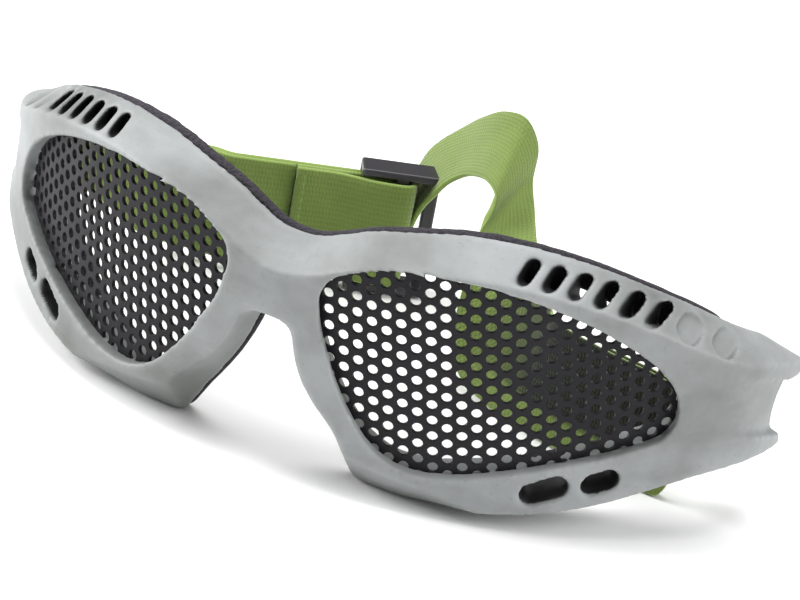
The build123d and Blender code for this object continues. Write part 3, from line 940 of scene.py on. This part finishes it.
    def build(self) -> None:
        """Build and dress both screens."""
        material = self.finish.material()
        tree = self.tree(material)
        for side, name, node in ((1, "left_eye_screen", "mesh_lens_left"),
                                 (-1, "right_eye_screen", "mesh_lens_right")):
            points = bpy.data.meshes.new(name)
            points.from_pydata(self.lattice(side), [], [])
            piece = new_object(name, points)
            tree.apply(piece, {
                "Pitch": self.pitch, "Hole": self.hole, "Radius": self.radius, "Thickness": self.thickness,
                "Facing": math.radians(self.facing) * side, "Lean": math.radians(self.lean),
                "Shift": BACK_SHIFT})
            self.trim(piece.data, side)
            piece.data.shade_smooth()
            piece.data.set_sharp_from_angle(angle=math.radians(self.crease))
            dress(piece, material)
            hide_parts(node)
            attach(piece, Body.GOGGLES.value)
            report(piece)


def smooth_run(lines: Sequence[Pair], step: float) -> list[Pair]:
    """Follow a band's lines with a smooth curve along each edge.

    Args:
        lines: Low and high edge points at each station.
        step: Greatest distance between the lines that are returned.

    Returns:
        The lines along the whole run.
    """
    mids = [(low + high) / 2 for low, high in lines]
    spans = [max((b - a).length, 1e-6) for a, b in zip(mids, mids[1:])]

    def slopes(points: Sequence[Vector]) -> list[Vector]:
        """Find the directions of the curve.

        Args:
            points: Its points.

        Returns:
            The direction at each.
        """
        rates = [(b - a) / h for a, b, h in zip(points, points[1:], spans)]
        inner = [(rates[i] * spans[i + 1] + rates[i + 1] * spans[i]) / (spans[i] + spans[i + 1])
                 for i in range(len(rates) - 1)]
        return [rates[0]] + inner + [rates[-1]]

    edges = [[line[k] for line in lines] for k in (0, 1)]
    ways = [slopes(edge) for edge in edges]
    found: list[Pair] = []
    for i, span in enumerate(spans):
        count = max(1, math.ceil(span / step))
        for j in range(count + (i == len(spans) - 1)):
            t = j / count
            a, b = 2 * t ** 3 - 3 * t ** 2 + 1, t ** 3 - 2 * t ** 2 + t
            c, d = 3 * t ** 2 - 2 * t ** 3, t ** 3 - t ** 2
            found.append(tuple(edge[i] * a + way[i] * (b * span) + edge[i + 1] * c + way[i + 1] * (d * span)
                               for edge, way in zip(edges, ways)))
    return found


def face_directions(lines: Sequence[Pair]) -> list[Vector]:
    """Find the direction square to a band at each line.

    Args:
        lines: Low and high edge points.

    Returns:
        The directions, all on one side of the band.
    """
    found: list[Vector] = []
    for i, (low, high) in enumerate(lines):
        before, after = lines[max(i - 1, 0)], lines[min(i + 1, len(lines) - 1)]
        along = (after[0] + after[1]) - (before[0] + before[1])
        out = along.cross(high - low).normalized()
        found.append(-out if found and out.dot(found[-1]) < 0 else out)
    return found


def ripple(along: float, across: float) -> float:
    """A faint wave of the elastic, in metres."""
    return 0.06 * MM * math.sin(along * 260.0) + 0.05 * MM * math.sin(along * 90.0 + across * 200.0)


def band_mesh(name: str, lines: Sequence[Pair], thickness: float, columns: int) -> bpy.types.Mesh:
    """Make a closed band with rounded edges along its lines.

    Args:
        name: Name of the mesh.
        lines: Low and high edge points, close together.
        thickness: Thickness of the band.
        columns: Faces across each side of the band.

    Returns:
        The mesh, with its UV in metres and a mark on its back face.
    """
    half = thickness / 2
    edge = [math.radians(a) for a in (60, 30, 0, -30, -60)]
    section = [(i / columns, 0.0, 1.0, 0.0) for i in range(columns + 1)]
    section += [(1.0, math.cos(a), math.sin(a), 0.5) for a in edge]
    section += [(1 - i / columns, 0.0, -1.0, 1.0) for i in range(columns + 1)]
    section += [(0.0, -math.cos(a), -math.sin(a), 0.5) for a in edge]
    outs = face_directions(lines)
    places, marks, alongs, acrosses = [], [], [], []
    travel = 0.0
    last = (lines[0][0] + lines[0][1]) / 2
    for (low, high), out in zip(lines, outs):
        middle = (low + high) / 2
        travel += (middle - last).length
        last = middle
        wide = (high - low).length
        up = (high - low) / wide
        for share, side, face, mark in section:
            place = half + (wide - 2 * half) * share
            lift = ripple(travel, place) if side == 0.0 else 0.0
            places.append(low + up * (place + half * side) + out * (half * face + math.copysign(lift, face)))
            marks.append(mark)
            alongs.append(travel)
            acrosses.append(place + half * side)
    count = len(section)
    faces = [(i * count + j, i * count + k, (i + 1) * count + k, (i + 1) * count + j)
             for i in range(len(lines) - 1) for j in range(count) for k in ((j + 1) % count,)]
    faces += [tuple(reversed(range(count))), tuple(range((len(lines) - 1) * count, len(lines) * count))]
    mesh = bpy.data.meshes.new(name)
    mesh.from_pydata(places, [], faces)
    uv = mesh.uv_layers.new(name="weave")
    for loop in mesh.loops:
        uv.data[loop.index].uv = (alongs[loop.vertex_index], acrosses[loop.vertex_index])
    mark_points(mesh, "back_face", marks)
    shape = bmesh.new()
    shape.from_mesh(mesh)
    bmesh.ops.recalc_face_normals(shape, faces=shape.faces)
    if shape.calc_volume(signed=True) < 0.0:
        bmesh.ops.reverse_faces(shape, faces=shape.faces)
    shape.to_mesh(mesh)
    shape.free()
    mesh.shade_smooth()
    return mesh


@dataclass
class HeadStrap:
    """The elastic: its long run, the layer that comes back, and the sewn fold in the buckle."""

    half_width: float = 87.7 * MM
    wrap: float = 104.5 * MM
    width: float = 24.5 * MM
    thickness: float = 1.3 * MM
    layer_gap: float = 0.3 * MM
    sewn_gap: float = 0.1 * MM
    buckle: tuple[float, float] = (-17.3 * MM, -9.5 * MM)
    heading: float = 30.0
    buckle_length: float = 18.0 * MM
    low: float = 2.5 * MM
    bar: tuple[float, float] = (79.6 * MM, -51.4 * MM)
    bar_radius: float = 1.4 * MM
    bar_gap: float = 0.3 * MM
    gathered_low: float = 19.6 * MM
    gathered_width: float = 16.3 * MM
    fold_length: float = 14.0 * MM
    travel: float = 12.0 * MM
    straight_on: float = 1.6 * MM
    middle_bar: float = 2.0 * MM
    buckle_bar: float = 3.0 * MM
    exit_u: float = 3.2 * MM
    enclosed_from: tuple[float, float] = (16.0 * MM, 36.0 * MM)
    enclosed_before: float = 12.0 * MM
    enclosed_above: float = 7.0 * MM
    turned_front: float = -0.2
    step: float = 1.2 * MM
    columns: int = 14
    finish: WovenElastic = field(default_factory=WovenElastic)

    # Stations of the long run: its low and its high edge, as shares of half_width, wrap and width. They go
    # from the left temple into the slack loop, out of it to the buckle, and on behind the right temple
    loop_shares: tuple = (
        (0.810, -0.529, 0.265, 0.810, -0.523, 1.265), (0.780, -0.536, 0.006, 0.779, -0.527, 1.020),
        (0.684, -0.529, 0.004, 0.684, -0.522, 1.020), (0.559, -0.510, 0.004, 0.561, -0.500, 1.020),
        (0.433, -0.481, 0.004, 0.440, -0.464, 1.020), (0.291, -0.435, 0.012, 0.393, -0.415, 1.020),
        (0.194, -0.401, 0.122, 0.365, -0.382, 1.061), (0.155, -0.380, 0.408, 0.336, -0.344, 1.102),
        (0.138, -0.350, 0.780, 0.268, -0.262, 1.190), (0.123, -0.302, 1.109, 0.190, -0.150, 1.340),
        (0.120, -0.266, 1.260, 0.140, -0.085, 1.500), (0.122, -0.244, 1.371, 0.120, -0.050, 1.740),
        (0.116, -0.226, 1.460, 0.079, -0.037, 1.900), (0.083, -0.197, 1.498, 0.011, -0.010, 1.869),
        (0.034, -0.159, 1.456, -0.061, 0.017, 1.696))
    exit_shares: tuple = (
        (-0.023, -0.124, 1.343, -0.121, 0.040, 1.490), (-0.063, -0.113, 1.212, -0.161, 0.035, 1.350),
        (-0.099, -0.100, 1.023, -0.191, 0.031, 1.209), (-0.132, -0.089, 0.832, -0.204, 0.022, 1.076),
        (-0.154, -0.082, 0.560, -0.200, -0.012, 0.994))
    temple_shares: tuple = (
        (-0.616, -0.270, 0.10, -0.616, -0.270, 1.10), (-0.690, -0.284, 0.10, -0.690, -0.284, 1.08),
        (-0.753, -0.325, 0.16, -0.753, -0.325, 1.08), (-0.795, -0.395, 0.42, -0.795, -0.395, 1.25))

    def edge_pair(self, shares: Sequence[float]) -> Pair:
        """The two edge points of a station, which is given in shares."""
        return tuple(Vector((x * self.half_width, y * self.wrap + BACK_SHIFT, z * self.width))
                     for x, y, z in (shares[:3], shares[3:]))

    def at_buckle(self, u: float, n: float = 0.0) -> Pair:
        """Stand a line across the strap where it passes the buckle.

        Args:
            u: Distance along the strap from the buckle's middle.
            n: Distance in front of the strap.

        Returns:
            The upright line.
        """
        angle = math.radians(self.heading)
        foot = Vector((self.buckle[0] + u * math.cos(angle) + n * math.sin(angle),
                       self.buckle[1] + BACK_SHIFT + u * math.sin(angle) - n * math.cos(angle), self.low))
        return foot, foot + Vector((0.0, 0.0, self.width))

    def at_bar(self, side: int, angle: float, inward: float = 0.0) -> Pair:
        """A line of the gathered strap on its way round a temple bar.

        Args:
            side: 1 for the wearer's left, -1 for the right.
            angle: Degrees round the bar from its front, outwards.
            inward: Distance on towards the middle of the face.

        Returns:
            The upright line.
        """
        turn = math.radians(angle)
        bend = self.bar_radius + self.bar_gap + self.thickness / 2
        foot = Vector((side * (self.bar[0] + bend * math.sin(turn) - inward),
                       self.bar[1] + BACK_SHIFT - bend * math.cos(turn), self.gathered_low))
        return foot, foot + Vector((0.0, 0.0, self.gathered_width))

    @property
    def layer_step(self) -> float:
        """Distance between the strap's two layers."""
        return self.thickness + self.layer_gap

    @property
    def fold_end(self) -> float:
        """Where the fold's cut end lies along the strap."""
        return -(self.buckle_length / 2 + self.fold_length)

    def beside(self, lines: Sequence[Pair], shift: float) -> list[Pair]:
        """The same lines, set off to one side of the band."""
        return [(low + out * shift, high + out * shift)
                for (low, high), out in zip(lines, face_directions(lines))]

    def long_run(self) -> list[Pair]:
        """Lay out the outer layer.

        Returns:
            Its lines, from the sewn tail at the left temple to the right temple's bar.
        """
        route = [self.edge_pair(s) for s in self.loop_shares]
        tail = self.beside(route[:5], self.thickness + self.sewn_gap)[:4]
        lines = list(reversed(tail)) + [self.at_bar(1, a) for a in (180, 135, 90, 45, 0)]
        lines += route + [self.edge_pair(s) for s in self.exit_shares]
        lines += [self.at_buckle(self.exit_u), self.at_buckle(0.0),
                  self.at_buckle(self.fold_end), self.at_buckle(self.fold_end - self.travel),
                  self.at_buckle(self.fold_end - self.travel - self.straight_on)]
        lines += [self.edge_pair(s) for s in self.temple_shares]
        return lines + [self.at_bar(-1, a) for a in (180, 135, 90, 45, 0)]

    def return_run(self) -> list[Pair]:
        """Lay out the inner layer.

        Returns:
            Its lines, from the fold to the right temple's bar.
        """
        outer = [self.at_buckle(self.fold_end - self.layer_gap), self.at_buckle(self.fold_end - self.travel),
                 self.at_buckle(self.fold_end - self.travel - self.straight_on)]
        outer += [self.edge_pair(s) for s in self.temple_shares]
        inner = self.beside(outer, -self.layer_step)
        return inner + [self.at_bar(-1, 0, self.bar_radius * 2), self.at_bar(-1, 0)]

    def fold(self) -> list[Pair]:
        """Lay out the strap's end.

        Returns:
            Its lines, behind the middle bar, round it and back to where it is sewn.
        """
        turn = self.middle_bar / 2 + self.layer_gap + self.thickness / 2
        middle_u = turn - self.buckle_bar / 2 + self.layer_gap
        middle_n = self.layer_step + turn
        sewn_n = self.layer_step + self.thickness + self.sewn_gap
        lines = [self.at_buckle(self.fold_end * s, self.layer_step) for s in (1.0, 0.66, 0.33, 0.0)]
        for i in range(9):
            angle = math.pi * (i / 8 - 0.5)
            lines.append(self.at_buckle(middle_u + turn * math.cos(angle), middle_n + turn * math.sin(angle)))
        rise = middle_n + turn - sewn_n
        shares = ((0.10, 1.0), (0.28, 0.80), (0.45, 0.35), (0.58, 0.06), (0.68, 0.0), (0.84, 0.0), (1.0, 0.0))
        return lines + [self.at_buckle(self.fold_end * u, sewn_n + rise * n) for u, n in shares]

    def mark_enclosed(self, mesh: bpy.types.Mesh) -> None:
        """Mark the side that faces the left screen from close behind it, where no light reaches, for painted
        shade.

        Args:
            mesh: The strap's mesh, which gets the mark.
        """
        first, last = self.enclosed_from
        marks = [max(0.0, min(1.0, (vertex.co.x - first) / (last - first)))
                 * (vertex.co.y < self.enclosed_before and vertex.co.z > self.enclosed_above
                    and vertex.normal.y < self.turned_front) for vertex in mesh.vertices]
        mark_points(mesh, "enclosed", marks)

    def build(self) -> None:
        """Build and dress the strap's pieces."""
        material = self.finish.material()
        for name, node, body, lines in (
                ("elastic_strap", "strap_band", Body.GOGGLES, self.long_run()),
                ("strap_return_layer", "strap_inner_layer", None, self.return_run()),
                ("strap_sewn_fold", "strap_end_fold", Body.BUCKLE, self.fold())):
            run = smooth_run(lines, self.step)
            for low, _ in run:
                low.z = max(low.z, 0.0)
            piece = new_object(name, band_mesh(name, run, self.thickness, self.columns))
            self.mark_enclosed(piece.data)
            dress(piece, material)
            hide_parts(node)
            if body is None:
                far, near = run[-1], run[0]
                tuple((far[0] + far[1]) / 2)
                tuple((near[0] + near[1]) / 2)
                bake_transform(piece)
            else:
                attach(piece, body.value)
            report(piece)


@dataclass
class KeptSolids:
    """The buckle and the two rows of lock stitches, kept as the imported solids."""

    plastic: MouldedPlastic = field(default_factory=MouldedPlastic)
    thread: SewingThread = field(default_factory=SewingThread)

    def build(self) -> None:
        """Dress the solids."""
        for finish, names in ((self.plastic, ("strap_slider",)),
                              (self.thread, ("temple_seam_stitches", "end_seam_stitches"))):
            material = finish.material()
            for name in names:
                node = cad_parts[name]
                node.data.materials.clear()
                node.data.materials.append(material)
                report(node)


@dataclass(frozen=True)
class Lamp:
    """A soft square lamp: where it stands, the side of its square and its power in watts."""

    name: str
    place: tuple[float, float, float]
    size: float
    power: float

    def build(self) -> None:
        """Add the lamp, turned to the goggles."""
        data = bpy.data.lights.new(self.name, "AREA")
        data.size = self.size
        data.energy = self.power
        lamp = new_object(self.name, data)
        lamp.location = self.place
        lamp.rotation_euler = (LIT_POINT - Vector(self.place)).to_track_quat("-Z", "Y").to_euler()


@dataclass
class Studio:
    """The pale floor, the soft lamps, and the camera of the photograph."""

    place: tuple[float, float, float] = (0.20688, -0.50098, 0.26303)
    right: tuple[float, float, float] = (0.8813, 0.4406, 0.1710)
    down: tuple[float, float, float] = (0.3263, -0.3055, -0.8945)
    forward: tuple[float, float, float] = (-0.3419, 0.8441, -0.4130)
    lens: float = 129.73
    sensor: float = 36.0
    nearest: float = 0.01
    floor_size: float = 6.0
    floor_drop: float = 0.2 * MM
    even_light: float = 0.26
    lamps: tuple[Lamp, ...] = (
        Lamp("left", (-1.05, -0.25, 0.60), 0.7, 20.0), Lamp("right", (0.95, 0.0, 0.65), 0.7, 8.0),
        Lamp("top", (0.0, 0.15, 1.15), 0.8, 12.0))

    def backdrop(self) -> None:
        """Make the floor, which shows white and still takes the object's shadow."""
        shape = bmesh.new()
        bmesh.ops.create_grid(shape, x_segments=8, y_segments=8, size=self.floor_size)
        floor = new_object("floor", mesh_of("floor", shape))
        floor.data.transform(Matrix.Translation((0.0, 0.0, -self.floor_drop)))
        tree = ShaderTree("white floor")
        grain = tree.noise(tree.object_place(), 30.0)
        floor.data.materials.append(tree.finish(
            Base_Color=tree.mix(grain, (0.93, 0.93, 0.93), (0.96, 0.96, 0.96)), Roughness=0.9,
            Specular_IOR_Level=0.1))

    def sky(self) -> None:
        """Set an even white world, full white where it is seen."""
        world = bpy.data.worlds.new("white room")
        bpy.context.scene.world = world
        world.use_nodes = True
        tree = NodeTree(world.node_tree)
        straight, through = (tree.add("ShaderNodeLightPath", None, None, name)
                             for name in ("Is Camera Ray", "Is Transmission Ray"))
        strength = straight.calc("MAXIMUM", straight, through).spread(0.0, 1.0, self.even_light, 1.0)
        light = tree.add("ShaderNodeBackground", None, {"Color": (1.0, 1.0, 1.0, 1.0), "Strength": strength})
        tree.add("ShaderNodeOutputWorld", None, {"Surface": light})

    def camera(self) -> None:
        """Set the photograph's camera."""
        data = bpy.data.cameras.new("camera")
        data.sensor_width = self.sensor
        data.lens = self.lens
        data.clip_start = self.nearest
        camera = new_object("camera", data)
        rows = Matrix((Vector(self.right), -Vector(self.down), -Vector(self.forward))).transposed()
        camera.matrix_world = Matrix.Translation(self.place) @ rows.to_4x4()
        bpy.context.scene.camera = camera

    def build(self) -> None:
        """Set up the floor, the sky, the lamps and the camera."""
        self.backdrop()
        self.sky()
        for lamp in self.lamps:
            lamp.build()
        self.camera()
        bpy.context.scene.view_settings.view_transform = "Standard"


def main() -> None:
    """Build every sub-assembly."""
    logging.basicConfig(level=logging.INFO, format="%(name)s: %(message)s")
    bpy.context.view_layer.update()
    Studio().build()
    MouldedFrame().build()
    FaceSeal().build()
    EyeScreens().build()
    HeadStrap().build()
    KeptSolids().build()


if __name__ == "__main__":
    main()
